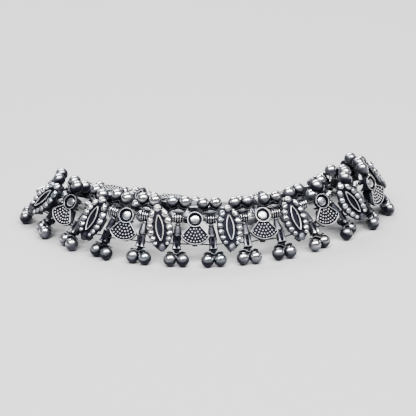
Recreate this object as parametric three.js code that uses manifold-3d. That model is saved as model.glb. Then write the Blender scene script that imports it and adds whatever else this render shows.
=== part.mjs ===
// A chain bracelet in darkened silver: marquise plaques and ring-and-fan plaques take turns between
// upright spacer bars with balls at both ends. Two threads run through all of them and end in a clasp.
// It lies on its edge as a closed loop, pushed flat from front to back, and leans inwards all round.
// Millimetres, +Z up, origin under the middle of the loop on the surface it lies on, front towards -Y.

import * as THREE from 'three';
import { mergeVertices } from 'three/addons/utils/BufferGeometryUtils.js';
import Module from 'manifold-3d';

// ---------- Driving dimensions ----------

// The loop. A place is where a spacer may stand; a gap is the space after the place of its number.
const PLACES = 24;
const PITCH = 8; // from place to place along the middle of the band
const CLASP_PLACE = 18; // the place behind, which the clasp bridges from neighbour to neighbour

// How the band lies: a row for every second place from the left end of the front. x and y are where
// its middle line passes in plan, facing is the way its outer side turns, in degrees from straight
// ahead, and lean is how far it leans inwards from upright, in degrees.
const STATIONS = [
  { x: -38, y: 10.5, facing: -100, lean: 39 },
  { x: -27.5, y: -2, facing: -61, lean: 39 },
  { x: -15.5, y: -8, facing: -21, lean: 34 },
  { x: 0, y: -9.5, facing: 4, lean: 42 },
  { x: 15, y: -6.5, facing: 17, lean: 45 },
  { x: 25, y: -1.5, facing: 66, lean: 35 },
  { x: 38.5, y: 8.5, facing: 100, lean: 32 },
  { x: 35.5, y: 20, facing: 176, lean: 49 },
  { x: 15.5, y: 10.5, facing: 196, lean: 85 },
  { x: -6.5, y: 10, facing: 175, lean: 77 },
  { x: -16, y: 14, facing: 167, lean: 83 },
  { x: -27.5, y: 18.5, facing: 183, lean: 84 },
];

// Spacer bar, from its middle: x along the chain, y up the bar, z outwards.
const BALL_R = 1.6;
const BALL_X = 1.5;
const BALL_Y = 6.9;
const DRUM = { y: 3, r: 1.15, half: 1.1 };
const EYE = { y: -3.1, r: 1.15, half: 0.7 };
const UPPER_PLATE = { low: 3.9, high: 5.6, halfWidth: 1.5, halfThick: 1 };
const LOWER_PLATE = { low: -5.6, high: -4.7, halfWidth: 2.7, halfThick: 1.1 };
const BELL = [
  { y: -1.7, r: 0.75 },
  { y: -1, r: 1.15 },
  { y: 1.1, r: 0.7 },
];
const COLLAR = { half: 0.45, low: 0.9, high: 2.2 };
const PIN = { x: 0.65, half: 0.36, low: -4.9, high: -1.4, back: -0.6, front: 1.2 };

// Threads, and the lugs on a plaque's back that they run through.
const THREAD_R = 0.17;
const THREAD_SIDES = 4;
const THREAD_STEPS = 260;
const PASSAGE_END = 0.3; // how far a thread runs on straight past the end of a bore
const BORE_R = 0.92;
const BORE_SIDES = 6;
const LUG = { half: 0.6, halfHeight: 1, back: -1 };
const TROUGH_R = 1.65; // the wider way for the upper thread through a plaque's body
const TROUGH_SIDES = 10;

// Plaques: a plate that stands out in front of the threads, with the ornament's main forms on it.
const PLATE = { back: 1.7, front: 2.5 };
const CORE_BACK = -0.6; // the body behind the plate, narrower than it, is this deep
const MARQUISE = { width: 6.2, height: 11.9, ridgeWidth: 3.1, ridgeHeight: 8, ridgeTop: 3.2 };
const MARQUISE_SLOT = { width: 1.3, height: 5.4 };
const MARQUISE_CORE = { width: 3.9, height: 10.6 };
const FAN = { ringY: 2.2, ringR: 1.9, ringTop: 3.05, cornerX: 3.5, cornerDrop: 4.1, arcDrop: 1.9 };
const FAN_DISC = { pitR: 1.45, pitFloor: 2.6, r: 1.1, top: 2.9 };
const FAN_CORE = { ringR: 1.5, cornerX: 2.2, cornerDrop: 4.95, arcDrop: 1.9 };

// How far a plaque has rolled in its own plane as it lies, in degrees; the other plaques hang true.
const ROLLS = [
  { gap: 0, roll: -12 },
  { gap: 3, roll: 4 },
  { gap: 4, roll: 13 },
  { gap: 7, roll: -5 },
  { gap: 9, roll: -10 },
  { gap: 10, roll: 4 },
  { gap: 12, roll: 12 },
  { gap: 22, roll: 10 },
];

const CLASP = { halfHeight: 2.4, corner: 0.8, back: -0.8, front: 1.3, inset: 0.4 };

const ROUND_SIDES = 6;
const BELL_SIDES = 6;
const ARC_SEGMENTS = 4;
const OVERLAP = 0.2; // how far joined shapes reach into each other
const SILVER = { color: 0x9a9aa0, roughness: 0.35, metalness: 1 };
const DARK_THREAD = { color: 0x26262a, roughness: 0.8, metalness: 0 };

// ---------- Joining and cutting ----------

const wasm = await Module();
wasm.setup();

function solid(geometry) {
  const bare = geometry.clone();
  bare.deleteAttribute('normal');
  bare.deleteAttribute('uv');
  const merged = mergeVertices(bare, 1e-4);
  const vertProperties = merged.attributes.position.array;
  const triVerts = new Uint32Array(merged.index.array);
  return new wasm.Manifold(new wasm.Mesh({ numProp: 3, vertProperties, triVerts }));
}

function geometryOf(body) {
  const mesh = body.getMesh();
  const geometry = new THREE.BufferGeometry();
  geometry.setAttribute('position', new THREE.BufferAttribute(mesh.vertProperties, 3));
  geometry.setIndex(new THREE.BufferAttribute(mesh.triVerts, 1));
  geometry.computeVertexNormals();
  return geometry;
}

function join(geometries) {
  return geometries.map(solid).reduce((whole, next) => whole.add(next));
}

function cut(body, geometries) {
  return geometries.map(solid).reduce((whole, next) => whole.subtract(next), body);
}

// ---------- Basic shapes in a piece's own frame ----------

function box(lowX, highX, lowY, highY, lowZ, highZ) {
  const geometry = new THREE.BoxGeometry(highX - lowX, highY - lowY, highZ - lowZ);
  return geometry.translate((lowX + highX) / 2, (lowY + highY) / 2, (lowZ + highZ) / 2);
}

function ball(x, y) {
  return new THREE.IcosahedronGeometry(BALL_R, 0).translate(x, y, 0);
}

function barAlongX(r, half, y, sides) {
  return new THREE.CylinderGeometry(r, r, 2 * half, sides)
    .rotateY(Math.PI / sides)
    .rotateZ(Math.PI / 2)
    .translate(0, y, 0);
}

function discAlongZ(r, y, low, high) {
  return new THREE.CylinderGeometry(r, r, high - low, 2 * ARC_SEGMENTS)
    .rotateX(Math.PI / 2)
    .translate(0, y, (low + high) / 2);
}

function plateOf(shape, low, high) {
  const settings = { depth: high - low, bevelEnabled: false, curveSegments: ARC_SEGMENTS };
  return new THREE.ExtrudeGeometry(shape, settings).translate(0, 0, low);
}

// A pointed oval between two arcs that meet at its tips.
function leaf(width, height) {
  const r = (width ** 2 + height ** 2) / (4 * width);
  const reach = Math.asin(height / 2 / r);
  const shape = new THREE.Shape();
  shape.absarc(width / 2 - r, 0, r, -reach, reach, false);
  shape.absarc(r - width / 2, 0, r, Math.PI - reach, Math.PI + reach, false);
  return shape;
}

// Straight sides from the origin down to two corners, and an arc about a point below it between them.
function fanOutline(cornerX, cornerDrop, arcDrop) {
  const radius = Math.hypot(cornerX, cornerDrop - arcDrop);
  const halfAngle = Math.atan2(cornerX, cornerDrop - arcDrop);
  const down = -Math.PI / 2;
  const shape = new THREE.Shape();
  shape.moveTo(0, 0);
  shape.lineTo(-cornerX, -cornerDrop);
  shape.absarc(0, -arcDrop, radius, down - halfAngle, down + halfAngle, false);
  shape.closePath();
  return shape;
}

function roundedRectangle(halfWidth, halfHeight, corner) {
  const shape = new THREE.Shape();
  const x = halfWidth - corner;
  const y = halfHeight - corner;
  const quarter = Math.PI / 2;
  shape.absarc(x, y, corner, 0, quarter, false);
  shape.absarc(-x, y, corner, quarter, 2 * quarter, false);
  shape.absarc(-x, -y, corner, 2 * quarter, 3 * quarter, false);
  shape.absarc(x, -y, corner, 3 * quarter, 4 * quarter, false);
  return shape;
}

// ---------- Pieces ----------

function bores(half) {
  return [DRUM.y, EYE.y].map((y) => barAlongX(BORE_R, half + OVERLAP, y, BORE_SIDES));
}

function spacerShapes() {
  const balls = [-1, 1].flatMap((side) => [-1, 1].map((end) => ball(side * BALL_X, end * BALL_Y)));
  const plates = [UPPER_PLATE, LOWER_PLATE].map((plate) =>
    box(-plate.halfWidth, plate.halfWidth, plate.low, plate.high, -plate.halfThick, plate.halfThick),
  );
  const profile = BELL.map((ring) => new THREE.Vector2(ring.r, ring.y));
  profile.unshift(new THREE.Vector2(0, BELL[0].y));
  profile.push(new THREE.Vector2(0, BELL.at(-1).y));
  const pins = [-PIN.x, PIN.x].map((x) =>
    box(x - PIN.half, x + PIN.half, PIN.low, PIN.high, PIN.back, PIN.front),
  );
  return [
    ...balls,
    ...plates,
    barAlongX(DRUM.r, DRUM.half, DRUM.y, ROUND_SIDES),
    barAlongX(EYE.r, EYE.half, EYE.y, ROUND_SIDES),
    ...pins,
    new THREE.LatheGeometry(profile, BELL_SIDES),
    box(-COLLAR.half, COLLAR.half, COLLAR.low, COLLAR.high, -COLLAR.half, COLLAR.half),
  ];
}

function spacer() {
  return geometryOf(cut(join(spacerShapes()), bores(DRUM.half)));
}

// The body behind a plaque's plate, with room for both threads.
function core(shapes, half) {
  return cut(join(shapes), [
    barAlongX(TROUGH_R, half + OVERLAP, DRUM.y, TROUGH_SIDES),
    barAlongX(BORE_R, half + OVERLAP, EYE.y, BORE_SIDES),
  ]);
}

function lugs() {
  return [DRUM.y, EYE.y].map((y) =>
    box(-LUG.half, LUG.half, y - LUG.halfHeight, y + LUG.halfHeight, LUG.back, PLATE.back + OVERLAP),
  );
}

function marquise() {
  const ridge = leaf(MARQUISE.ridgeWidth, MARQUISE.ridgeHeight);
  ridge.holes.push(leaf(MARQUISE_SLOT.width, MARQUISE_SLOT.height));
  const body = join([
    plateOf(leaf(MARQUISE.width, MARQUISE.height), PLATE.back, PLATE.front),
    plateOf(ridge, PLATE.front - OVERLAP, MARQUISE.ridgeTop),
    ...lugs(),
  ]);
  const coreLeaf = leaf(MARQUISE_CORE.width, MARQUISE_CORE.height);
  const back = core([plateOf(coreLeaf, CORE_BACK, PLATE.back + OVERLAP)], MARQUISE_CORE.width / 2);
  return geometryOf(cut(body, bores(LUG.half)).add(back));
}

function fan() {
  const outline = fanOutline(FAN.cornerX, FAN.cornerDrop, FAN.arcDrop);
  const coreOutline = fanOutline(FAN_CORE.cornerX, FAN_CORE.cornerDrop, FAN_CORE.arcDrop);
  const rim = join([
    plateOf(outline, PLATE.back, PLATE.front).translate(0, FAN.ringY, 0),
    discAlongZ(FAN.ringR, FAN.ringY, PLATE.back, FAN.ringTop),
    ...lugs(),
  ]);
  const coreShapes = [
    plateOf(coreOutline, CORE_BACK, PLATE.back + OVERLAP).translate(0, FAN.ringY, 0),
    discAlongZ(FAN_CORE.ringR, FAN.ringY, CORE_BACK, PLATE.back + OVERLAP),
  ];
  const pit = discAlongZ(FAN_DISC.pitR, FAN.ringY, FAN_DISC.pitFloor, FAN.ringTop + OVERLAP);
  const disc = solid(discAlongZ(FAN_DISC.r, FAN.ringY, FAN_DISC.pitFloor - OVERLAP, FAN_DISC.top));
  const front = cut(cut(rim, [pit]).add(disc), bores(LUG.half));
  return geometryOf(front.add(core(coreShapes, FAN_CORE.cornerX)));
}

// ---------- The loop ----------

// A smooth closed curve through one named column of the stations, or two, once round the loop.
function throughStations(pick) {
  return new THREE.CatmullRomCurve3(STATIONS.map(pick), true, 'catmullrom', 0.5);
}

const middleLine = throughStations((row) => new THREE.Vector3(row.x, row.y, 0));
const lineScale = (PLACES * PITCH) / middleLine.getLength();

// Facing is kept as its difference from an even turn, so that it closes on itself.
const stance = throughStations((row, i) => {
  const evenTurn = (360 * i) / STATIONS.length;
  return new THREE.Vector3(row.facing - evenTurn, row.lean, 0);
});

// A frame from its middle, its direction along the chain and its direction up the band.
function frameOf(middle, along, up) {
  const y = up.clone().normalize();
  const x = along.clone().addScaledVector(y, -along.dot(y)).normalize();
  const z = new THREE.Vector3().crossVectors(x, y);
  return new THREE.Matrix4().makeBasis(x, y, z).setPosition(middle);
}

function placeFrame(place) {
  const share = (place % PLACES) / PLACES;
  const stand = stance.getPoint(share);
  const facing = THREE.MathUtils.degToRad(stand.x + 360 * share);
  const lean = THREE.MathUtils.degToRad(stand.y);
  const along = new THREE.Vector3(Math.cos(facing), Math.sin(facing), 0);
  const inward = new THREE.Vector3(-Math.sin(facing), Math.cos(facing), 0);
  const up = inward.multiplyScalar(Math.sin(lean)).add(new THREE.Vector3(0, 0, Math.cos(lean)));
  const middle = middleLine.getPointAt(share).multiplyScalar(lineScale);
  middle.z = BALL_R + BALL_Y * Math.cos(lean);
  return frameOf(middle, along, up);
}

function axisOf(frame, column) {
  return new THREE.Vector3().setFromMatrixColumn(frame, column);
}

function bridgeFrame(from, to) {
  const a = placeFrame(from);
  const b = placeFrame(to);
  const start = new THREE.Vector3().setFromMatrixPosition(a);
  const end = new THREE.Vector3().setFromMatrixPosition(b);
  const middle = start.clone().lerp(end, 0.5);
  return frameOf(middle, end.sub(start), axisOf(a, 1).add(axisOf(b, 1)));
}

function gapFrame(gap) {
  const found = ROLLS.find((row) => row.gap === gap);
  const roll = THREE.MathUtils.degToRad(found ? found.roll : 0);
  return bridgeFrame(gap, gap + 1).multiply(new THREE.Matrix4().makeRotationZ(roll));
}

// ---------- Clasp and threads ----------

// A plain flat body between two end bars; all one piece.
function clasp() {
  const frame = bridgeFrame(CLASP_PLACE - 1, CLASP_PLACE + 1);
  const ends = [CLASP_PLACE - 1, CLASP_PLACE + 1].map(placeFrame);
  const [start, end] = ends.map((bar) => new THREE.Vector3().setFromMatrixPosition(bar));
  const halfLength = start.distanceTo(end) / 2 - CLASP.inset;
  const outline = roundedRectangle(halfLength, CLASP.halfHeight, CLASP.corner);
  const body = plateOf(outline, CLASP.back, CLASP.front).applyMatrix4(frame);
  const bars = ends.flatMap((bar) => spacerShapes().map((shape) => shape.applyMatrix4(bar)));
  const holes = ends.flatMap((bar) => bores(DRUM.half).map((hole) => hole.applyMatrix4(bar)));
  return geometryOf(cut(join([body, ...bars]), holes));
}

// The two ends of a straight run through a piece, at height y in its frame.
function passage(frame, half, y) {
  const reach = half + PASSAGE_END;
  return [-reach, reach].map((x) => new THREE.Vector3(x, y, 0).applyMatrix4(frame));
}

function thread(y) {
  const first = CLASP_PLACE + 1;
  const last = CLASP_PLACE - 1 + PLACES;
  const half = y === DRUM.y ? DRUM.half : EYE.half;
  const points = [];
  for (let place = first; place <= last; place++) {
    const ends = passage(placeFrame(place), half, y);
    points.push(...ends);
    if (place < last) points.push(...passage(gapFrame(place % PLACES), LUG.half, y));
  }
  // Each thread ends half way through an end bar.
  points[0].lerp(points[1], 0.5);
  points[points.length - 1].lerp(points[points.length - 2], 0.5);
  const section = new THREE.Shape();
  section.absarc(0, 0, THREAD_R, 0, 2 * Math.PI, false);
  return new THREE.ExtrudeGeometry(section, {
    steps: THREAD_STEPS,
    curveSegments: THREAD_SIDES / 2,
    extrudePath: new THREE.CatmullRomCurve3(points, false, 'catmullrom', 0.2),
  });
}

// ---------- Assembly ----------

const bracelet = new THREE.Group();

function addPiece(name, geometry, finish, frame = new THREE.Matrix4()) {
  const mesh = new THREE.Mesh(geometry, new THREE.MeshStandardMaterial(finish));
  mesh.name = name;
  mesh.applyMatrix4(frame);
  bracelet.add(mesh);
}

function numbered(name, number) {
  return name + '_' + String(number).padStart(2, '0');
}

const shapes = { spacer: spacer(), marquise: marquise(), fan: fan() };
const made = { spacer: 0, marquise: 0, fan: 0 };

function addNext(kind, frame) {
  made[kind] += 1;
  addPiece(numbered(kind, made[kind]), shapes[kind], SILVER, frame);
}

for (let place = 0; place < PLACES; place++) {
  const fromClasp = place - CLASP_PLACE;
  if (Math.abs(fromClasp) > 1) addNext('spacer', placeFrame(place));
  if (fromClasp !== -1 && fromClasp !== 0) addNext(place % 2 ? 'fan' : 'marquise', gapFrame(place));
}
addPiece('clasp', clasp(), SILVER);
addPiece('upper_thread', thread(DRUM.y), DARK_THREAD);
addPiece('lower_thread', thread(EYE.y), DARK_THREAD);

// The origin goes under the middle of the whole box, at the height of its lowest point.
const bounds = new THREE.Box3().setFromObject(bracelet, true);
const centre = bounds.getCenter(new THREE.Vector3());
bracelet.position.set(-centre.x, -centre.y, -bounds.min.z);

export default bracelet;
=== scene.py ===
import math

import bmesh
import bpy
from mathutils import Matrix, Vector, noise
from mathutils.bvhtree import BVHTree


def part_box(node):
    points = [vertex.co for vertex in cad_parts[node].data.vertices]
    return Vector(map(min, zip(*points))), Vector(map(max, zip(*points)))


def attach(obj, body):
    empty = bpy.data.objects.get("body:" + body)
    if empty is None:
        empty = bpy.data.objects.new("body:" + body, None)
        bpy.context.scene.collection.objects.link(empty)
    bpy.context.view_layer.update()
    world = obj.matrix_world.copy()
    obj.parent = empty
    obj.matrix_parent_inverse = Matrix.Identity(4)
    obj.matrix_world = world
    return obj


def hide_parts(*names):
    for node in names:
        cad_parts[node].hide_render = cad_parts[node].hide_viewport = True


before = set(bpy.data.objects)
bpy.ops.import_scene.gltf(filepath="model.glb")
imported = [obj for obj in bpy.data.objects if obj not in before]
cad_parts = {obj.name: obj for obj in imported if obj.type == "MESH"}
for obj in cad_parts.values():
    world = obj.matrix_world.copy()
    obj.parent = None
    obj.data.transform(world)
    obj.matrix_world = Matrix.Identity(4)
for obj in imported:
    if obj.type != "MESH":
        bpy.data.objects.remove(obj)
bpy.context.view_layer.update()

MM = 0.001
noise.seed_set(1)  # noise vectors follow the clock unless a seed is set

# ---------- How the loop lies, as in the CAD source ----------

PLACES = 24
PITCH = 8
CLASP_PLACE = 18
STATIONS = [  # x, y, facing, lean for every second place
    (-38, 10.5, -100, 39),
    (-27.5, -2, -61, 39),
    (-15.5, -8, -21, 34),
    (0, -9.5, 4, 42),
    (15, -6.5, 17, 45),
    (25, -1.5, 66, 35),
    (38.5, 8.5, 100, 32),
    (35.5, 20, 176, 49),
    (15.5, 10.5, 196, 85),
    (-6.5, 10, 175, 77),
    (-16, 14, 167, 83),
    (-27.5, 18.5, 183, 84),
]
ROLLS = {0: -12, 3: 4, 4: 13, 7: -5, 9: -10, 10: 4, 12: 12, 22: 10}  # gap: degrees
BALL_REST = 1.6  # a ball's middle is this high when it lies on the floor
BALL_Y = 6.9  # from a bar's middle to the middles of the balls at its ends


def through(points, share):
    """The point at a share of the way round a closed, uniform Catmull-Rom curve."""
    along = len(points) * share
    first = math.floor(along)
    t = along - first
    a, b, c, d = (Vector(points[(first + k) % len(points)]) for k in (-1, 0, 1, 2))
    from_b = (c - a) / 2
    to_c = (d - b) / 2
    bend = -3 * b + 3 * c - 2 * from_b - to_c
    twist = 2 * b - 2 * c + from_b + to_c
    return b + from_b * t + bend * t**2 + twist * t**3


MIDDLE_LINE = [(x, y) for x, y, _, _ in STATIONS]
STANCE = [
    (facing - 360 * i / len(STATIONS), lean)
    for i, (_, _, facing, lean) in enumerate(STATIONS)
]
DIVISIONS = 200
LENGTHS = [0.0]
for step in range(DIVISIONS):
    start, end = (through(MIDDLE_LINE, mark / DIVISIONS) for mark in (step, step + 1))
    LENGTHS.append(LENGTHS[-1] + (end - start).length)
LINE_SCALE = PLACES * PITCH / LENGTHS[-1]


def evenly(share):
    """The share of the curve's own measure at which that share of its length is passed."""
    wanted = share * LENGTHS[-1]
    low = max(i for i, length in enumerate(LENGTHS[:-1]) if length <= wanted)
    part = (wanted - LENGTHS[low]) / (LENGTHS[low + 1] - LENGTHS[low])
    return (low + part) / DIVISIONS


def frame_of(middle, along, up):
    """A piece's own frame: y up the bar, x along the chain, z outwards."""
    y = up.normalized()
    x = (along - y * along.dot(y)).normalized()
    z = x.cross(y)
    matrix = Matrix((x, y, z)).transposed().to_4x4()
    matrix.translation = middle
    return matrix


def place_frame(place):
    """The frame of the bar at a place."""
    share = (place % PLACES) / PLACES
    turn, lean = through(STANCE, share)
    facing = math.radians(turn + 360 * share)
    lean = math.radians(lean)
    along = Vector((math.cos(facing), math.sin(facing), 0))
    inward = Vector((-math.sin(facing), math.cos(facing), 0))
    up = inward * math.sin(lean) + Vector((0, 0, math.cos(lean)))
    middle = through(MIDDLE_LINE, evenly(share)) * LINE_SCALE
    height = BALL_REST + BALL_Y * math.cos(lean)
    return frame_of(Vector((middle.x, middle.y, height)), along, up)


def bridge_frame(start, end):
    """The frame square between the bars at two places."""
    a, b = place_frame(start), place_frame(end)
    along = b.translation - a.translation
    up = a.col[1].to_3d() + b.col[1].to_3d()
    return frame_of((a.translation + b.translation) / 2, along, up)


def gap_frame(gap):
    """The frame of the plaque that follows the bar at the gap's place."""
    roll = Matrix.Rotation(math.radians(ROLLS.get(gap, 0)), 4, "Z")
    return bridge_frame(gap, gap + 1) @ roll


# The places of the spacers and the gaps of the plaques, in their order round the loop.
spacers, marquises, fans = [], [], []
for place in range(PLACES):
    if abs(place - CLASP_PLACE) > 1:
        spacers.append(place)
    if place not in (CLASP_PLACE - 1, CLASP_PLACE):
        (fans if place % 2 else marquises).append(place)

# The CAD's origin is under the middle of its whole box, so the shift to it is read from the
# spacers' own boxes, whose middles are at the bars' middles.
shift = Vector((0, 0, 0))
for number, place in enumerate(spacers, 1):
    low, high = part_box("spacer_%02d" % number)
    shift += ((low + high) / 2 / MM - place_frame(place).translation) / len(spacers)
TO_ROW = Matrix.Scale(MM, 4) @ Matrix.Translation(shift)

# ---------- Shaping ----------
# Each shape is given its own polish, from 0 for metal left black to 1 for metal rubbed bright; on
# the balls and granules it also holds a painted highlight on top and painted shade underneath.

SEAM = 1e-4  # points nearer than this are one
TINY = 1e-6
EDGE_FADE = 0.04  # half the height over which a raised edge goes from dull to bright
TIP_REACH = 0.5  # how far from a leaf's tip its points are eased
TIP_WIDER = 0.5
TIP_SHORTER = 0.12
RUBBED_AND_LIT_SIDE = Vector((0, 0.55, 0.84))  # the side of a piece that is rubbed bright by wear and painted as lit; the side away from it is painted in shade


def polish_and_light(bm, made, share):
    """Writes a share of polish, painted light included where a shape has it, on new points: a
    number, or a function of the point.
    """
    layer = bm.verts.layers.float["polish_and_light"]
    for vert in made:
        if vert.is_valid:
            vert[layer] = share(vert.co) if callable(share) else share


def edged(bright_from, dull=0.1, bright=1.4):
    """Polish for a raised edge: bright on its top, dull down its walls."""

    def share(point):
        top = eased(point.z, bright_from - EDGE_FADE, bright_from + EDGE_FADE)
        return dull + (bright - dull) * top

    return share


def eased(value, low, high):
    """Rises smoothly from 0 at low to 1 at high."""
    share = min(max((value - low) / (high - low), 0), 1)
    return share * share * (3 - 2 * share)


def toned(tones, value):
    """Polish from tones: a dull share, what is gained on it, and where the gain starts and ends."""
    dull, gain, low, high = tones
    return dull + gain * eased(value, low, high)


def dented(made, depth, grain):
    """Moves the points of a cast lump in and out a little, so that no two are quite alike."""
    for vert in made:
        vert.co += noise.noise_vector(vert.co * grain) * depth


def wrap(bm, across, along, surface, shine=0.5):
    """A grid laid over a surface: surface(u, v) gives the place for u and v from 0 to 1."""
    made = bmesh.ops.create_grid(bm, x_segments=across, y_segments=along, size=1)["verts"]
    for vert in made:
        vert.co = surface((vert.co.x + 1) / 2, (vert.co.y + 1) / 2)
    polish_and_light(bm, made, shine)
    bmesh.ops.remove_doubles(bm, verts=made, dist=SEAM)


def spun(bm, rows, direction, centre=(0, 0, 0), steps=24, ring=False, shine=0.5):
    """A turned shape from rows of (radius, height), from axis to axis or as a ring."""
    before = set(bm.verts)
    centre = Vector(centre)
    axis = {"x": Vector((1, 0, 0)), "y": Vector((0, 1, 0)), "z": Vector((0, 0, 1))}[direction]
    out = Vector((0, 0, 1)) if direction != "z" else Vector((1, 0, 0))
    verts = [bm.verts.new(centre + axis * height + out * radius) for radius, height in rows]
    pairs = list(zip(verts, verts[1:])) + ([(verts[-1], verts[0])] if ring else [])
    edges = [bm.edges.new(pair) for pair in pairs]
    whole = 2 * math.pi
    bmesh.ops.spin(
        bm, geom=verts + edges, cent=centre, axis=axis, angle=whole, steps=steps, use_merge=True
    )
    made = [vert for vert in bm.verts if vert not in before]
    polish_and_light(bm, made, shine)
    bmesh.ops.remove_doubles(bm, verts=made, dist=SEAM)


def ball(bm, centre, radius, scale=(1, 1, 1), turn=0.0, fine=24, shine=0.5):
    """A ball, or a lump when it is scaled and turned. Returns its points."""
    matrix = (
        Matrix.Translation(centre)
        @ Matrix.Rotation(turn, 4, "Z")
        @ Matrix.Diagonal((*scale, 1))
    )
    made = bmesh.ops.create_uvsphere(
        bm, u_segments=fine, v_segments=fine * 2 // 3, radius=radius, matrix=matrix
    )
    polish_and_light(bm, made["verts"], shine)
    return made["verts"]


def block(bm, low, high, soften, shine=0.5, segments=2):
    """A block between two corners, its edges softened."""
    before = set(bm.verts)
    low, high = Vector(low), Vector(high)
    size = high - low
    matrix = Matrix.Translation((low + high) / 2) @ Matrix.Diagonal((*size, 1))
    verts = bmesh.ops.create_cube(bm, size=1, matrix=matrix)["verts"]
    edges = list(dict.fromkeys(edge for vert in verts for edge in vert.link_edges))
    bmesh.ops.bevel(
        bm, geom=edges, offset=soften, segments=segments, profile=0.5, affect="EDGES", material=-1
    )
    polish_and_light(bm, [vert for vert in bm.verts if vert not in before], shine)


def slab(bm, outline, low, high, soften, segments=3, shine=0.5):
    """A flat plate over an outline, its edges rounded above and below."""
    before = set(bm.verts)
    made = bmesh.ops.create_circle(bm, cap_ends=True, segments=len(outline), radius=1)["verts"]
    made.sort(key=lambda vert: math.atan2(vert.co.y, vert.co.x) % (2 * math.pi))
    for vert, (x, y) in zip(made, outline):
        vert.co = (x, y, low)
    base = next(face for face in made[0].link_faces if len(face.verts) == len(outline))
    top = bmesh.ops.extrude_face_region(bm, geom=[base])["geom"]
    raised = [item for item in top if isinstance(item, bmesh.types.BMVert)]
    bmesh.ops.translate(bm, verts=raised, vec=(0, 0, high - low))
    near = dict.fromkeys(edge for vert in raised + made for edge in vert.link_edges)
    edges = [edge for edge in near if abs(edge.verts[0].co.z - edge.verts[1].co.z) < TINY]
    bmesh.ops.bevel(
        bm, geom=edges, offset=soften, segments=segments, profile=0.5, affect="EDGES", material=-1
    )
    polish_and_light(bm, [vert for vert in bm.verts if vert not in before], shine)


def squared(value, power):
    return math.copysign(abs(value) ** power, value)


def rod(bm, path, radius, sides=8, closed=True, tall=1.0, power=1.0, shine=0.5):
    """A bar along a path; a power under 1 flattens its sides, and an open one ends in points."""
    path = [Vector(point) for point in path]
    count = len(path)
    rings = count if closed else count - 1

    def surface(u, v):
        k = round(u * rings)
        here = path[k % count]
        ahead = path[(k + 1) % count] if closed or k < count - 1 else here
        behind = path[(k - 1) % count] if closed or k > 0 else here
        way = (ahead - behind).normalized()
        side = way.cross(Vector((0, 0, 1)))
        side = side.normalized() if side.length > TINY else Vector((1, 0, 0))
        over = side.cross(way)
        reach = radius if closed or 0 < k < count - 1 else 0.0
        angle = 2 * math.pi * v
        across = reach * squared(math.cos(angle), power)
        above = reach * tall * squared(math.sin(angle), power)
        return here + side * across + over * above

    wrap(bm, rings, sides, surface, shine)


def leaf(width, height, count=28, rounding=0.0):
    """A pointed oval, counterclockwise, its points eased by the rounding."""
    radius = (width**2 + height**2) / (4 * width)
    reach = math.asin(height / 2 / radius)
    points = []
    for side in (1, -1):
        for k in range(count):
            angle = reach * (2 * k / count - 1)
            x = side * (width / 2 - radius + radius * math.cos(angle))
            y = side * radius * math.sin(angle)
            ease = rounding * math.exp(-(((height / 2 - abs(y)) / TIP_REACH) ** 2))
            wider = side * ease * TIP_WIDER if k else 0
            points.append((x + wider, y * (1 - ease * TIP_SHORTER)))
    return points


def leaf_side(width, height, y):
    """How far a leaf's side is from its middle at a height."""
    radius = (width**2 + height**2) / (4 * width)
    return width / 2 - radius + math.sqrt(max(radius**2 - y**2, 0))


# ---------- The spacer bar ----------

BALL_X = 1.5
BALL_R = 1.54
DRUM_Y = 3.0
DRUM_HALF = 1.15
RIB_TURNS = 4
RIB_ROWS = 20  # in half a drum
RIB_FOOT = 0.92
RIB_RISE = 0.24
RIB_FLATNESS = 0.7
EYE_Y = -3.1
# The caps under the balls.
CAP_HUG = 1.62  # from a ball's middle to the cap's outer side
CAP_STRAIGHT = 0.9  # past a ball's middle the cap runs out straight from here
CAP_SLOPE = 0.45
CAP_CUSP = -1.3  # short of a ball's middle the cap is level from here
CAP_DEPTH = 1.2
CAP_THIN = 0.35  # the share of its thickness that is left at the cap's ends
UPPER_CAP = (2.05, 0.36, 0.5)  # half width, thickness, polish
LOWER_CAP = (2.45, 0.4, 0.7)
CRESCENT = (0.9, 3.7)
CRESCENT_Y = 4.62
# Turned parts, as rows of (radius, height along their axis).
DRUM_BORE = [(0.7, DRUM_HALF), (0.7, -DRUM_HALF)]
NECK = [(0, 0.9), (0.42, 0.9), (0.42, 2.2), (0, 2.2)]
COLLAR = [(0.4, -0.16), (0.66, -0.12), (0.74, 0), (0.66, 0.12), (0.4, 0.16)]
COLLAR_Y = 1.45
BELL = [(0, 1.16), (0.5, 1.14), (0.68, 1.04), (0.76, 0.7), (0.88, 0.1), (1.02, -0.5)]
BELL += [(1.12, -1.0), (1.14, -1.25), (1.04, -1.5), (0.8, -1.64), (0.45, -1.7), (0, -1.7)]
EYE = [(1.02, -0.66), (1.08, -0.56), (1.08, 0.56), (1.02, 0.66), (0.76, 0.66), (0.76, -0.66)]
PIN = [(0, -1.36), (0.44, -1.36), (0.53, -1.25), (0.47, -1.05), (0.38, -0.55), (0.35, 0)]
PIN += [(radius, -height) for radius, height in reversed(PIN[:-1])]
PIN_X, PIN_Z = 0.56, 0.78
# Blocks, as low corner, high corner, softening and polish.
UPPER_STEM = ((-0.62, 3.75, -0.7), (0.62, 5.3, 0.7), 0.15, 0.15)
FOOT = ((-1.05, -4.55, -0.75), (1.05, -4.3, 1.15), 0.1, 0.25)
LOWER_STEM = ((-0.6, -5.3, -0.6), (0.6, -4.3, 0.6), 0.12, 0.05)
SPINE = ((-0.55, -4.4, -1.15), (0.55, -1.4, -0.8), 0.1, 0.1)
# Tones, as a dull share, what is gained on it, and where the gain starts and ends.
DRUM_TONES = (0.12, 0.83, 1.0, 1.14)
# Ball tones: a dull tarnished share, and a painted highlight gained on the side that lies up and
# out.
BALL_TONES = (0.18, 0.6, 0.2, 0.85)
BELL_TONES = (0.17, 0.42, 1.05, 1.3)
PIN_TONES = (0.22, 0.42, 0.85, 1.2)


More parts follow.
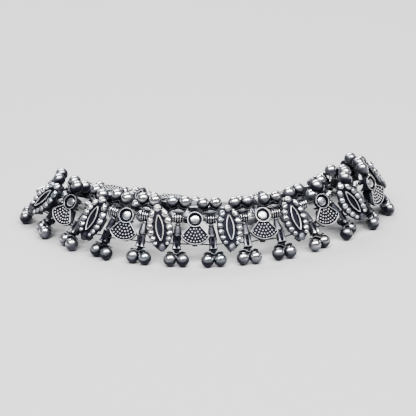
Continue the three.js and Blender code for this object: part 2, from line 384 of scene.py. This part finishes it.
def cradle(bm, end, half_width, thickness, shine):
    """The thin cap that follows the undersides of a pair of balls, with a cusp between them."""

    def under(x):
        across = abs(x) - BALL_X
        round_ball = min(max(across, CAP_CUSP), CAP_STRAIGHT)
        run_out = max(across - CAP_STRAIGHT, 0) * CAP_SLOPE
        return BALL_Y - math.sqrt(CAP_HUG**2 - round_ball**2) + run_out

    def surface(u, v):
        x = (2 * u - 1) * half_width
        around = 2 * math.pi * v
        narrow = math.sqrt(max(1 - (x / half_width) ** 4, 0))
        depth = CAP_DEPTH * narrow * math.sin(around)
        thick = thickness * (CAP_THIN + (1 - CAP_THIN) * narrow) * math.cos(around) / 2
        return Vector((x, end * (under(x) - thickness / 2 + thick * narrow), depth))

    wrap(bm, 36, 16, surface, shine)


def drum_polish(point):
    return toned(DRUM_TONES, math.hypot(point.y - DRUM_Y, point.z))


def ball_polish_and_shade(point):
    """Balls get a painted highlight on the side that lies up and out, and painted shade underneath,
    over a dull tarnished tone.
    """
    centre = Vector((math.copysign(BALL_X, point.x), math.copysign(BALL_Y, point.y), 0))
    return toned(BALL_TONES, (point - centre).normalized().dot(RUBBED_AND_LIT_SIDE))


def bell_polish(point):
    return toned(BELL_TONES, -point.y)


def pin_polish(point):
    return toned(PIN_TONES, EYE_Y - point.y)


def spacer_shape(bm):
    """The upright bar, from its upper pair of balls down to its lower pair."""
    for side in (-1, 1):
        for end in (-1, 1):
            ball(bm, (side * BALL_X, end * BALL_Y, 0), BALL_R, fine=32, shine=ball_polish_and_shade)
    cradle(bm, 1, *UPPER_CAP)
    crescent = [(-y, x + CRESCENT_Y) for x, y in leaf(*CRESCENT, 12)]
    slab(bm, crescent, -0.9, 1.0, 0.3, shine=0.46)
    cradle(bm, -1, *LOWER_CAP)
    block(bm, *UPPER_STEM)
    drum = []
    for k in range(2 * RIB_ROWS + 1):
        height = DRUM_HALF * (k / RIB_ROWS - 1)
        wave = 0.5 + 0.5 * math.cos(RIB_TURNS * math.pi * height / DRUM_HALF)
        drum.append((RIB_FOOT + RIB_RISE * wave**RIB_FLATNESS, height))
    drum += DRUM_BORE
    spun(bm, drum, "x", (0, DRUM_Y, 0), 28, ring=True, shine=drum_polish)
    spun(bm, NECK, "y", steps=12, shine=0.3)
    spun(bm, COLLAR, "y", (0, COLLAR_Y, 0), 20, ring=True, shine=0.9)
    spun(bm, BELL, "y", steps=24, shine=bell_polish)
    spun(bm, EYE, "x", (0, EYE_Y, 0), 24, ring=True, shine=0.15)
    for side in (-1, 1):
        spun(bm, PIN, "y", (side * PIN_X, EYE_Y, PIN_Z), 16, shine=pin_polish)
    block(bm, *FOOT)
    block(bm, *LOWER_STEM)
    block(bm, *SPINE)


# ---------- The plaques ----------

PLATE_BACK = 1.7
PLATE_FRONT = 2.3
CORE_BACK = -0.6
BODY_FRONT = PLATE_BACK + 0.1  # a little way into the plate
UPPER_WAY = 1.65  # half the room left for each thread through a plaque's body
LOWER_WAY = 0.92
STEP_LAP = 0.02
LEFT_BLACK = -0.3
# The two lugs: an eye, in rows of (radius, height), and the block that holds it to the plate.
LUG_HALF = 0.6
LUG_EYE = [(0.5, -LUG_HALF), (0.56, 0.08 - LUG_HALF), (0.56, LUG_HALF - 0.08), (0.5, LUG_HALF)]
LUG_EYE += [(0.32, LUG_HALF), (0.32, -LUG_HALF)]
LUG_BLOCK_HALF = (0.55, 0.42)
LUG_BLOCK_BACK = 0.45
# The marquise's leaves, as (width, height).
MARQUISE = (6.1, 11.7)
MARQUISE_BODY = (3.9, 10.6)
RIDGE = (1.66, 6.2)
RIDGE_R = 0.125
RIDGE_MIDDLE = PLATE_FRONT + 0.25
RIDGE_TOP = PLATE_FRONT + 0.42
SLOT = (2.0, 6.5)
# The granules along a marquise's edges, as (y, half width, half length).
GRANULES_LEFT = [
    (3.4, 0.74, 1.1),
    (1.9, 0.8, 0.94),
    (0.45, 0.82, 0.98),
    (-1, 0.82, 0.88),
    (-2.4, 0.78, 0.88),
    (-3.55, 0.66, 0.68),
]
GRANULES_RIGHT = [
    (3.25, 0.76, 1.25),
    (1.5, 0.84, 1.04),
    (-0.1, 0.86, 1.0),
    (-1.6, 0.8, 0.9),
    (-2.9, 0.74, 0.84),
    (-3.85, 0.58, 0.56),
]
GRANULE_RISE = 0.72
GRANULE_LEAN = 7.2  # a granule leans with the rim by its height over this
UPPER_TIP = ((0, 4.68, PLATE_FRONT), (1.0, 0.95, 0.7))  # middle, half sizes
LOWER_TIP = ((0.04, -4.62, PLATE_FRONT - 0.05), (0.92, 1.05, 0.62))
# The fan's outline and body, from the middle of its ring.
FAN_RING_Y = 2.2
FAN_RING_R = 1.72
FAN_CORNER = (3.5, -4.02)
FAN_ARC_DROP = 1.9
FAN_ARC_STEPS = 26
FAN_BODY_CORNER = (2.2, -4.95)
FAN_BODY_R = 1.5
FAN_RIM_IN = 0.12
FAN_RIM_R = 0.075
FAN_RIM_MIDDLE = PLATE_FRONT + 0.08
FAN_RIM_TOP = PLATE_FRONT + 0.26
# The ring and the disc in it, as rows of (radius, height).
RING_WALL = [(1.42, PLATE_BACK), (1.78, PLATE_BACK), (1.8, 2.75), (1.48, 2.75), (1.42, 2.2)]
RING_LIP = [(1.66, 2.6), (1.67, 2.86), (1.7, 2.93), (1.77, 2.93), (1.8, 2.86), (1.81, 2.6)]
RING_LIP_TOP = 2.86
RING_FLOOR = [(0, PLATE_BACK), (1.6, PLATE_BACK), (1.6, 2.25), (0, 2.25)]
DISC = [(0, 2.2), (1.1, 2.2), (1.12, 2.45), (1.08, 2.58)]
DISC += [(0.96, 2.66), (0.7, 2.72), (0.35, 2.75), (0, 2.76)]
DISC_TOP = 2.6
# The grains on a fan, in rows round the middle of its arc.
GRAIN_ROWS = (0.44, 1.17, 1.9, 2.63, 3.36)
GRAIN_PITCH = 0.72
GRAIN_MOST = 9  # to either side in a row
GRAIN_SWEEP = 1.6
GRAIN_FROM_EDGE = 0.5
GRAIN_FROM_RING = 2.1
GRAIN_R = 0.21
GRAIN_TONES = (0.1, 1.5, PLATE_FRONT + 0.04, PLATE_FRONT + 0.17)


def loops(bm):
    """The two eyes in a plaque's back that the threads run through."""
    wide, tall = LUG_BLOCK_HALF
    for y in (DRUM_Y, EYE_Y):
        spun(bm, LUG_EYE, "x", (0, y, 0), 20, ring=True, shine=0.1)
        low, high = (-wide, y - tall, LUG_BLOCK_BACK), (wide, y + tall, BODY_FRONT)
        block(bm, low, high, 0.08, shine=0.1, segments=1)


def between(outline, low, high):
    """The part of an outline that lies between two heights."""
    for limit, side in ((low, 1), (high, -1)):
        kept = []
        for a, b in zip(outline, outline[1:] + outline[:1]):
            here, ahead = side * (a[1] - limit), side * (b[1] - limit)
            if here >= 0:
                kept.append(a)
            if here * ahead < 0:
                kept.append((a[0] + (b[0] - a[0]) * here / (here - ahead), limit))
        outline = kept
    return outline


def plaque_body(bm, outline, shine):
    """The body behind a plate, stepped so that both threads have a way through it."""
    eye_low, eye_high = EYE_Y - LOWER_WAY, EYE_Y + LOWER_WAY
    steps = [
        (-BALL_Y, eye_low, CORE_BACK),
        (eye_low - STEP_LAP, eye_high + STEP_LAP, LOWER_WAY),
        (eye_high, DRUM_Y - UPPER_WAY, CORE_BACK),
    ]
    for low, high, back in steps:
        part = between(outline, low, high)
        if part:
            slab(bm, part, back, BODY_FRONT, 0.08, segments=2, shine=shine)


def granule(bm, centre, size, slope, rubbed_and_lit):
    """A cast lump on a plaque's rim, with a painted highlight on the side that lies up and out and
    painted shade under it, and no two alike.
    """
    centre = Vector(centre)
    rubbed_and_lit += 0.25 * noise.noise(centre * 0.8)

    def share(point):
        # Painted highlight on the side that lies up and out, painted shade on the side away from
        # it.
        return 0.32 + rubbed_and_lit * eased((point - centre).normalized().dot(RUBBED_AND_LIT_SIDE), 0, 0.85)

    dented(ball(bm, centre, 1, size, slope, fine=20, shine=share), 0.12, 1.25)


def plate_tones(walls):
    """Polish for a plate: its walls as given, and its flat top left black."""

    def share(point):
        return walls if point.z < PLATE_FRONT - 0.02 else LEFT_BLACK

    return share


def marquise_shape(bm):
    """The pointed oval: a plate and body, a rim of granules, and a ridge round a black slot."""
    outline = leaf(*MARQUISE, rounding=0.5)
    slab(bm, outline, PLATE_BACK, PLATE_FRONT, 0.14, shine=plate_tones(0.42))
    plaque_body(bm, leaf(*MARQUISE_BODY), 0.22)
    for side, rows in ((-1, GRANULES_LEFT), (1, GRANULES_RIGHT)):
        for y, wide, long in rows:
            rim = leaf_side(*MARQUISE, y)
            centre = (side * (rim + 0.04 - wide), y, PLATE_FRONT + 0.02)
            slope = side * math.atan2(y, GRANULE_LEAN)
            granule(bm, centre, (wide, long, GRANULE_RISE), slope, 0.48)
    granule(bm, *LOWER_TIP, 0, 0.12)
    granule(bm, *UPPER_TIP, 0, 0.55)
    ridge = [(x, y - 0.05, RIDGE_MIDDLE) for x, y in leaf(*RIDGE, 24, 0.2)]
    rod(bm, ridge, RIDGE_R, 12, tall=3.3, power=0.65, shine=edged(RIDGE_TOP, 0.3, 1.5))
    slot_low, slot_high = PLATE_FRONT - 0.1, PLATE_FRONT + 0.1
    slab(bm, leaf(*SLOT), slot_low, slot_high, 0.04, segments=1, shine=LEFT_BLACK)
    loops(bm)


def fan_outline(corner=FAN_CORNER, grow=0.0):
    """Straight sides from the ring to two eased corners, an arc between them, and a neck."""
    radius = math.hypot(corner[0], corner[1] + FAN_ARC_DROP) + grow
    half = math.atan2(corner[0], -corner[1] - FAN_ARC_DROP)
    side = Vector(corner).normalized()
    length = Vector(corner).length
    outward = Vector((-side.y, side.x)) * grow
    arc = []
    for k in range(FAN_ARC_STEPS + 1):
        sweep = 2 * k / FAN_ARC_STEPS - 1
        angle = -math.pi / 2 + half * sweep * 0.965
        reach = radius * (1 - 0.03 * abs(sweep) ** 8)
        arc.append((reach * math.cos(angle), -FAN_ARC_DROP + reach * math.sin(angle)))
    right = [side * (length * share) + outward for share in (0.92, 0.82, 0.66, 0.5, 0.37)]
    left = [(-x, y) for x, y in reversed(right)]
    neck = [(FAN_RING_R * math.sin(a), -FAN_RING_R * math.cos(a)) for a in (0.34, 0, -0.34)]
    return [(x, y + FAN_RING_Y) for x, y in left + arc + right + neck]


def grain_polish(point):
    return toned(GRAIN_TONES, point.z)


def fan_grains(bm):
    """Small grains in rows, every second row set half a pitch aside."""
    side_angle = math.atan2(FAN_CORNER[0], -FAN_CORNER[1])
    for row, radius in enumerate(GRAIN_ROWS):
        offset = 0.0 if row % 2 else 0.5
        for k in range(-GRAIN_MOST, GRAIN_MOST + 1):
            angle = (k + offset) * (GRAIN_PITCH / radius)
            x = radius * math.sin(angle)
            y = -FAN_ARC_DROP - radius * math.cos(angle)
            from_edge = -y * math.tan(side_angle) - abs(x)
            if abs(angle) > GRAIN_SWEEP or from_edge < GRAIN_FROM_EDGE:
                continue
            if math.hypot(x, y) < GRAIN_FROM_RING:
                continue
            middle = (x, y + FAN_RING_Y, PLATE_FRONT + 0.02)
            ball(bm, middle, GRAIN_R, (1, 1, 1.3), 0, 12, grain_polish)


def fan_shape(bm):
    """The ring with a polished disc in it, over a fan of grains with a raised rim."""
    slab(bm, fan_outline(), PLATE_BACK, PLATE_FRONT, 0.1, shine=plate_tones(0.22))
    plaque_body(bm, fan_outline(FAN_BODY_CORNER), 0.12)
    angles = [2 * math.pi * k / 32 for k in range(32)]
    round_body = [
        (FAN_BODY_R * math.cos(a), FAN_RING_Y + FAN_BODY_R * math.sin(a)) for a in angles
    ]
    plaque_body(bm, round_body, 0.12)
    rim = [(x, y, FAN_RIM_MIDDLE) for x, y in fan_outline(grow=-FAN_RIM_IN)]
    rod(bm, rim, FAN_RIM_R, 12, tall=3.9, power=0.55, shine=edged(FAN_RIM_TOP, bright=1.6))
    ring = (0, FAN_RING_Y, 0)
    spun(bm, RING_WALL, "z", ring, 40, ring=True, shine=0.1)
    spun(bm, RING_LIP, "z", ring, 40, ring=True, shine=edged(RING_LIP_TOP, bright=1.7))
    spun(bm, RING_FLOOR, "z", ring, 32, shine=-0.2)
    spun(bm, DISC, "z", ring, 36, shine=edged(DISC_TOP, 0.0, 1.1))
    fan_grains(bm)
    loops(bm)


# ---------- Wear, patina and painted shade, as an attribute of each shape ---

SHARP_ANGLE = math.radians(42)
RAYS = 28
REACH = 1.1  # how far off another surface still shuts a point in
LIFT = 0.03  # the rays start this far off the surface
FAR_LOSS = 0.6  # what a surface at the full reach has lost of its effect
HOLLOW_LOSS = 0.75  # what a wholly shut point loses of its polish
INNER_AND_UNDER_SHARE = 0.4  # the share of polish left on the inner side and the undersides, there less worn and painted in shade


def wear_and_shade(mesh):
    """Writes how brightly each point is rubbed: less on the inner side and the undersides, partly
    as wear and partly as painted shade, and less in hollows.
    """
    points = [vert.co for vert in mesh.vertices]
    tree = BVHTree.FromPolygons(points, [poly.vertices for poly in mesh.polygons])
    golden = math.pi * (3 - math.sqrt(5))
    rays = []
    for k in range(RAYS):
        height = math.sqrt((k + 0.5) / RAYS)
        wide = math.sqrt(1 - height**2)
        rays.append(Vector((wide * math.cos(golden * k), wide * math.sin(golden * k), height)))
    own = mesh.attributes["polish_and_light"].data
    values = []
    for vert, mark in zip(mesh.vertices, own):
        turn = vert.normal.to_track_quat("Z", "Y")
        start = vert.co + vert.normal * LIFT
        shut = 0.0
        for ray in rays:
            _, _, _, distance = tree.ray_cast(start, turn @ ray, REACH)
            if distance is not None:
                shut += 1 - FAR_LOSS * distance / REACH
        # Lighter on the side that faces up and out, darker on the inner side and the undersides:
        # partly wear, partly painted shade.
        side = eased(vert.normal.dot(RUBBED_AND_LIT_SIDE), -0.5, 0.8)
        kept = INNER_AND_UNDER_SHARE + (1 - INNER_AND_UNDER_SHARE) * side
        values.append(mark.value * kept - HOLLOW_LOSS * shut / RAYS)
    mesh.attributes.remove(mesh.attributes["polish_and_light"])
    mesh.attributes.new("rub_and_shade", "FLOAT", "POINT").data.foreach_set("value", values)


def started():
    bm = bmesh.new()
    bm.verts.layers.float.new("polish_and_light")
    return bm


def closed_up(name, bm):
    """The finished mesh, its faces turned outwards and shaded smooth."""
    bmesh.ops.recalc_face_normals(bm, faces=bm.faces[:])
    mesh = bpy.data.meshes.new(name)
    bm.to_mesh(mesh)
    bm.free()
    for poly in mesh.polygons:
        poly.use_smooth = True
    return mesh


def cast(name, shaper):
    """A casting made by a shaper, with its wear and its painted shade."""
    bm = started()
    shaper(bm)
    mesh = closed_up(name, bm)
    mesh.set_sharp_from_angle(angle=SHARP_ANGLE)
    wear_and_shade(mesh)
    return mesh


# ---------- Finishes ----------

BLACK_TARNISH = (0.008, 0.008, 0.014, 1)
GREY_TARNISH = (0.16, 0.165, 0.19, 1)
COOL_SILVER = (0.85, 0.85, 0.885, 1)
WARM_SILVER = (0.8, 0.765, 0.745, 1)
BLUE_SILVER = (0.66, 0.73, 0.8, 1)
# Patterns in the metal and the threads, as (scale over a metre, detail).
FINE_GRAIN = (2600, 4)
BROAD_GRAIN = (520, 3)
SLOW_DRIFT = (110, 2)
HUE_DRIFT = (150, 1)
WEAVE = (5200, 3)
DARK_ROUGH = 0.55
SCUFFED_ROUGH = 0.46
THREAD_DARK = (0.016, 0.016, 0.02, 1)
THREAD_LIGHT = (0.06, 0.06, 0.07, 1)
MIX_SOCKETS = {
    "RGBA": ("A_Color", "B_Color", "Result_Color"),
    "FLOAT": ("A_Float", "B_Float", "Result_Float"),
}


def node(tree, kind, inputs=(), **settings):
    """A new node, its inputs set to values or linked to other nodes' outputs."""
    made = tree.nodes.new(kind)
    for key, value in settings.items():
        setattr(made, key, value)
    for socket, value in dict(inputs).items():
        if isinstance(value, bpy.types.NodeSocket):
            tree.links.new(value, made.inputs[socket])
        else:
            made.inputs[socket].default_value = value
    return made


def mixed(tree, share, low, high, kind="RGBA"):
    made = node(tree, "ShaderNodeMix", data_type=kind)
    pick = {socket.identifier: socket for socket in list(made.inputs) + list(made.outputs)}
    a, b, result = (pick[name] for name in MIX_SOCKETS[kind])
    for socket, value in ((pick["Factor_Float"], share), (a, low), (b, high)):
        if isinstance(value, bpy.types.NodeSocket):
            tree.links.new(value, socket)
        else:
            socket.default_value = value
    return result


def ranged(tree, value, low, high, to_low=0.0, to_high=1.0, smooth=False):
    settings = {"interpolation_type": "SMOOTHSTEP"} if smooth else {}
    inputs = {"Value": value, "From Min": low, "From Max": high}
    inputs.update({"To Min": to_low, "To Max": to_high})
    return node(tree, "ShaderNodeMapRange", inputs, **settings).outputs["Result"]


def grain_of(tree, here, pattern):
    """Noise in the metal or thread at a place."""
    scale, detail = pattern
    inputs = {"Vector": here, "Scale": scale, "Detail": detail}
    return node(tree, "ShaderNodeTexNoise", inputs).outputs["Fac"]


def summed(tree, value, gain, more):
    """The value times the gain, plus more."""
    inputs = {0: value, 1: gain, 2: more}
    return node(tree, "ShaderNodeMath", inputs, operation="MULTIPLY_ADD").outputs[0]


def surface_tree(name):
    material = bpy.data.materials.new(name)
    material.use_nodes = True
    tree = material.node_tree
    return material, tree, tree.nodes["Principled BSDF"]


def silver(name, polish_low, grain):
    """Cast silver, blackened where it is hollow and rubbed bright where it stands out; its rub
    attribute also carries painted highlights and painted shade.
    """
    material, tree, shader = surface_tree(name)
    here = node(tree, "ShaderNodeTexCoord").outputs["Object"]
    rub_and_shade = node(tree, "ShaderNodeAttribute", attribute_name="rub_and_shade").outputs["Fac"]
    patterns = (FINE_GRAIN, BROAD_GRAIN, SLOW_DRIFT, HUE_DRIFT)
    fine, broad, slow, hue = (grain_of(tree, here, pattern) for pattern in patterns)
    patchy = summed(tree, broad, 0.36, summed(tree, slow, 1.2, -0.8))
    # Rub plus patchy tone: wear and patina, with the painted highlight and painted shade that the
    # rub attribute carries.
    rubbed_and_lit = node(tree, "ShaderNodeMath", {0: rub_and_shade, 1: patchy}, operation="ADD").outputs[0]
    warm = mixed(tree, ranged(tree, slow, 0.45, 0.68), COOL_SILVER, WARM_SILVER)
    bright = mixed(tree, ranged(tree, hue, 0.54, 0.7), warm, BLUE_SILVER)
    grey = mixed(tree, ranged(tree, rubbed_and_lit, 0.3, 0.75, smooth=True), GREY_TARNISH, bright)
    colour = mixed(tree, ranged(tree, rubbed_and_lit, 0.04, 0.36, smooth=True), BLACK_TARNISH, grey)
    tree.links.new(colour, shader.inputs["Base Color"])
    gloss = ranged(tree, fine, 0.3, 0.7, polish_low, polish_low + 0.14)
    smooth = mixed(tree, ranged(tree, rubbed_and_lit, 0.05, 0.75), DARK_ROUGH, gloss, "FLOAT")
    scuffed = mixed(tree, ranged(tree, rubbed_and_lit, 0.95, 1.25), smooth, SCUFFED_ROUGH, "FLOAT")
    tree.links.new(scuffed, shader.inputs["Roughness"])
    tree.links.new(ranged(tree, rubbed_and_lit, 0.0, 0.3, 0.5, 1.0), shader.inputs["Metallic"])
    sheen = ranged(tree, rubbed_and_lit, 0.0, 0.3, 0.12, 0.5)
    tree.links.new(sheen, shader.inputs["Specular IOR Level"])
    dents = {"Height": broad, "Strength": grain, "Distance": 0.00025}
    dented_normal = node(tree, "ShaderNodeBump", dents).outputs[0]
    pits = {"Height": fine, "Strength": grain * 0.5, "Distance": 0.00006}
    pits["Normal"] = dented_normal
    tree.links.new(node(tree, "ShaderNodeBump", pits).outputs[0], shader.inputs["Normal"])
    return material


def cord_finish(name):
    """A dark, dull thread with a fine weave."""
    material, tree, shader = surface_tree(name)
    here = node(tree, "ShaderNodeTexCoord").outputs["Object"]
    weave = grain_of(tree, here, WEAVE)
    tree.links.new(mixed(tree, weave, THREAD_DARK, THREAD_LIGHT), shader.inputs["Base Color"])
    shader.inputs["Roughness"].default_value = 0.75
    bump = node(tree, "ShaderNodeBump", {"Height": weave, "Strength": 0.5, "Distance": 0.00008})
    tree.links.new(bump.outputs[0], shader.inputs["Normal"])
    return material


bar_silver = silver("bar_silver", 0.13, 0.16)
plaque_silver = silver("plaque_silver", 0.15, 0.22)
clasp_silver = silver("clasp_silver", 0.2, 0.2)
cord_black = cord_finish("thread")

# ---------- The pieces in place ----------


def put(name, mesh, finish, cad_node):
    """A finished piece that takes the place of a CAD node."""
    mesh.materials.append(finish)
    piece = bpy.data.objects.new(name, mesh)
    bpy.context.scene.collection.objects.link(piece)
    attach(piece, "root")
    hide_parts(cad_node)


def copies(kind, shaper, finish, places, frame_at):
    """One casting of a kind at each of its places, all from one shape."""
    template = cast(kind + "_shape", shaper)
    for number, place in enumerate(places, 1):
        mesh = template.copy()
        mesh.transform(TO_ROW @ frame_at(place))
        name = "%s_%02d" % (kind, number)
        put(name + "_cast", mesh, finish, name)


copies("spacer", spacer_shape, bar_silver, spacers, place_frame)
copies("marquise", marquise_shape, plaque_silver, marquises, gap_frame)
copies("fan", fan_shape, plaque_silver, fans, gap_frame)

CLASP_BACK, CLASP_FRONT = -0.8, 1.3
CLASP_HALF_HEIGHT = 2.4
CLASP_CORNER = 0.8
CLASP_CLEAR = 0.4  # between the plate's ends and the end bars' middles
CLASP_EDGE_TONES = (0.34, 0.5, 1.9, 2.35)


def clasp_polish(point):
    """A plain plate, dull on its flats and rubbed along its edges."""
    return toned(CLASP_EDGE_TONES, abs(point.y)) + 0.12 * noise.noise(point * 0.7)


def clasp_shape(bm):
    """The plate between the two end bars and the bars themselves, one soldered piece."""
    ends = [place_frame(CLASP_PLACE - 1), place_frame(CLASP_PLACE + 1)]
    half = (ends[0].translation - ends[1].translation).length / 2 - CLASP_CLEAR
    outline = []
    for quarter, (sx, sy) in enumerate(((1, 1), (-1, 1), (-1, -1), (1, -1))):
        for k in range(7):
            angle = math.pi / 2 * (quarter + k / 6)
            x = sx * (half - CLASP_CORNER) + CLASP_CORNER * math.cos(angle)
            y = sy * (CLASP_HALF_HEIGHT - CLASP_CORNER) + CLASP_CORNER * math.sin(angle)
            outline.append((x, y))
    slab(bm, outline, CLASP_BACK, CLASP_FRONT, 0.22, shine=clasp_polish)
    between_ends = bridge_frame(CLASP_PLACE - 1, CLASP_PLACE + 1)
    bmesh.ops.transform(bm, matrix=between_ends, verts=bm.verts[:])
    for end in ends:
        before = set(bm.verts)
        spacer_shape(bm)
        bmesh.ops.transform(bm, matrix=end, verts=[v for v in bm.verts if v not in before])


clasp_mesh = cast("clasp_shape", clasp_shape)
clasp_mesh.transform(TO_ROW)
put("clasp_cast", clasp_mesh, clasp_silver, "clasp")

THREAD_R = 0.17
THREAD_SIDES = 8
THREAD_STRAIGHT = {DRUM_Y: 1.4, EYE_Y: 1.0}  # half its straight run through a bar
THREAD_PAST_LUG = 0.3


def thread_path(y):
    """Straight through every bar and plaque and a little past them, from end bar to end bar."""
    half = THREAD_STRAIGHT[y]
    lug = LUG_HALF + THREAD_PAST_LUG
    points = []
    first, last = CLASP_PLACE + 1, CLASP_PLACE - 1 + PLACES
    for place in range(first, last + 1):
        points += [place_frame(place) @ Vector((x, y, 0)) for x in (-half, 0, half)]
        if place < last:
            points += [gap_frame(place % PLACES) @ Vector((x, y, 0)) for x in (-lug, 0, lug)]
    return points[1:-1]


for name, y in (("upper_thread", DRUM_Y), ("lower_thread", EYE_Y)):
    bm = started()
    rod(bm, thread_path(y), THREAD_R, THREAD_SIDES, closed=False)
    mesh = closed_up(name + "_line", bm)
    mesh.transform(TO_ROW)
    put(name + "_cord", mesh, cord_black, name)

# ---------- Floor, light and camera ----------

FLOOR_HALF = 2.5
FLOOR_COLOUR = (0.6, 0.6, 0.61, 1)
FLOOR_ROUGH = 0.8
# Soft lights, as where, aimed at, width and height, and watts.
OVERHEAD = ((0.03, -0.17, 0.45), (0, 0, 0), (0.8, 0.12), 9)
FROM_BEHIND = ((-0.1, 0.4, 0.42), (0, 0, 0.005), (0.5, 0.2), 4)
ROOM_COLOUR = (0.5, 0.52, 0.56, 1)
ROOM_STRENGTH = 0.3

floor_mesh = bpy.data.meshes.new("floor")
bm = bmesh.new()
bmesh.ops.create_grid(bm, x_segments=1, y_segments=1, size=FLOOR_HALF)
bm.to_mesh(floor_mesh)
bm.free()
floor = bpy.data.objects.new("floor", floor_mesh)
bpy.context.scene.collection.objects.link(floor)
floor_finish, _, floor_shader = surface_tree("floor")
floor_shader.inputs["Base Color"].default_value = FLOOR_COLOUR
floor_shader.inputs["Roughness"].default_value = FLOOR_ROUGH
floor_mesh.materials.append(floor_finish)


def soft_light(name, where, aim, size, power):
    data = bpy.data.lights.new(name, "AREA")
    data.shape = "RECTANGLE"
    data.size, data.size_y = size
    data.energy = power
    lamp = bpy.data.objects.new(name, data)
    lamp.location = where
    lamp.rotation_mode = "QUATERNION"
    lamp.rotation_quaternion = (Vector(aim) - Vector(where)).to_track_quat("-Z", "Y")
    bpy.context.scene.collection.objects.link(lamp)


soft_light("overhead", *OVERHEAD)
soft_light("back", *FROM_BEHIND)
world = bpy.data.worlds.new("room")
bpy.context.scene.world = world
world.use_nodes = True
background = world.node_tree.nodes["Background"]
background.inputs["Color"].default_value = ROOM_COLOUR
background.inputs["Strength"].default_value = ROOM_STRENGTH

AZIMUTH = math.radians(-2.77)
ELEVATION = math.radians(26.1)
DISTANCE = 480
VIEW_WIDTH = 99.632  # across the view at that distance
SENSOR = 36
AIM_HEIGHT = 5  # above the stations' origin
AIM_RIGHT, AIM_UP = -0.2, 2.76  # from there, square to the line of sight
level = math.cos(ELEVATION)
away = Vector((-math.sin(AZIMUTH) * level, math.cos(AZIMUTH) * level, -math.sin(ELEVATION)))
right = Vector((math.cos(AZIMUTH), math.sin(AZIMUTH), 0))
up = right.cross(away)
aim = (Vector((0, 0, AIM_HEIGHT)) + shift + right * AIM_RIGHT + up * AIM_UP) * MM
camera_data = bpy.data.cameras.new("camera")
camera_data.sensor_width = SENSOR
camera_data.lens = SENSOR * DISTANCE / VIEW_WIDTH
camera_data.clip_start, camera_data.clip_end = 0.05, 20
camera = bpy.data.objects.new("camera", camera_data)
camera.location = aim - away * (DISTANCE * MM)
camera.rotation_mode = "QUATERNION"
camera.rotation_quaternion = away.to_track_quat("-Z", "Y")
bpy.context.scene.collection.objects.link(camera)
bpy.context.scene.camera = camera
